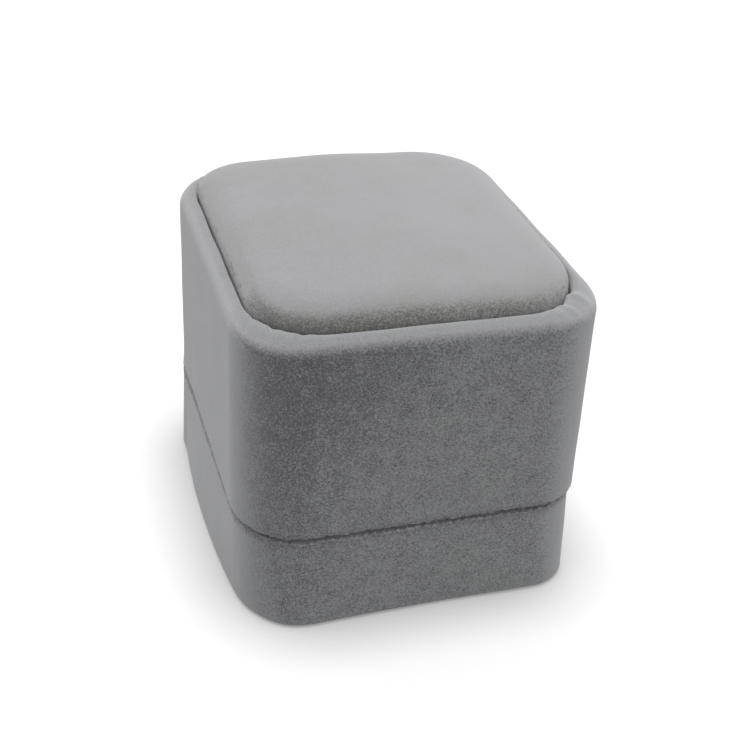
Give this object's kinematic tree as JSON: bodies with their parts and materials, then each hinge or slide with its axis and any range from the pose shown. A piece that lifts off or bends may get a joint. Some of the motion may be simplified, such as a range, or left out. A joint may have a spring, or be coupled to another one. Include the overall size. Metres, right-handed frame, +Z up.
{
  "type": "ring box with drawer",
  "caption": "Velvet-covered ring box with a crowned pad on its lift-off lid, ring cushions on a neck and a shallow drawer in the low base band.",
  "frame": {"origin": "centre of the closed box's underside, on the table", "axes": "+Z up, -Y to the front where the drawer comes out, +X to the right seen from the front"},
  "size_m": [0.055, 0.061, 0.0533],
  "materials": {
    "grey_velvet": "short-pile mid-grey velvet, brushed one way, slightly mottled",
    "grey_flock_paper": "flocked paper, matte mid-grey",
    "black_flock_paper": "flocked paper, matte black",
    "moulded_abs": "injection-moulded, fine matte texture, dark grey",
    "grey_board": "compressed greyboard, uncoated",
    "foam": "open-cell upholstery foam",
    "lining_card": "velvet-faced lining card, light grey"
  },
  "bodies": {
    "case": {"base_sheet": "black_flock_paper", "bottom_board": "grey_board", "cheek_left": "grey_board", "cheek_cover_left": "grey_flock_paper", "cheek_right": "grey_board", "cheek_cover_right": "grey_flock_paper", "back_block": "moulded_abs", "back_cover": "grey_velvet", "deck_board": "grey_board", "drawer_stop": "grey_board", "neck_collar": "moulded_abs", "neck_cover": "grey_velvet", "cushion_tray": "grey_board", "cushion_core_front": "foam", "cushion_cover_front": "grey_velvet", "cushion_core_rear": "foam", "cushion_cover_rear": "grey_velvet"},
    "drawer": {"drawer_band": "moulded_abs", "drawer_band_cover": "grey_velvet", "drawer_front_liner": "grey_board", "drawer_back": "grey_board", "drawer_floor": "grey_board", "drawer_side_left": "grey_board", "drawer_side_right": "grey_board", "drawer_wall_lining": "grey_velvet", "drawer_floor_lining": "grey_velvet"},
    "lid": {"lid_shell": "moulded_abs", "lid_cover": "grey_velvet", "pad_board": "grey_board", "pad_foam": "foam", "pad_cover": "grey_velvet", "lid_lining_band": "lining_card", "lid_lining_pad": "lining_card"}
  },
  "joints": [
    {"name": "lid_lift", "type": "slide", "parent": "case", "child": "lid", "axis": [0, 0, 1], "range_m": [0, 0.036]},
    {"name": "drawer_slide", "type": "slide", "parent": "case", "child": "drawer", "axis": [0, -1, 0], "range_m": [0, 0.036]}
  ]
}
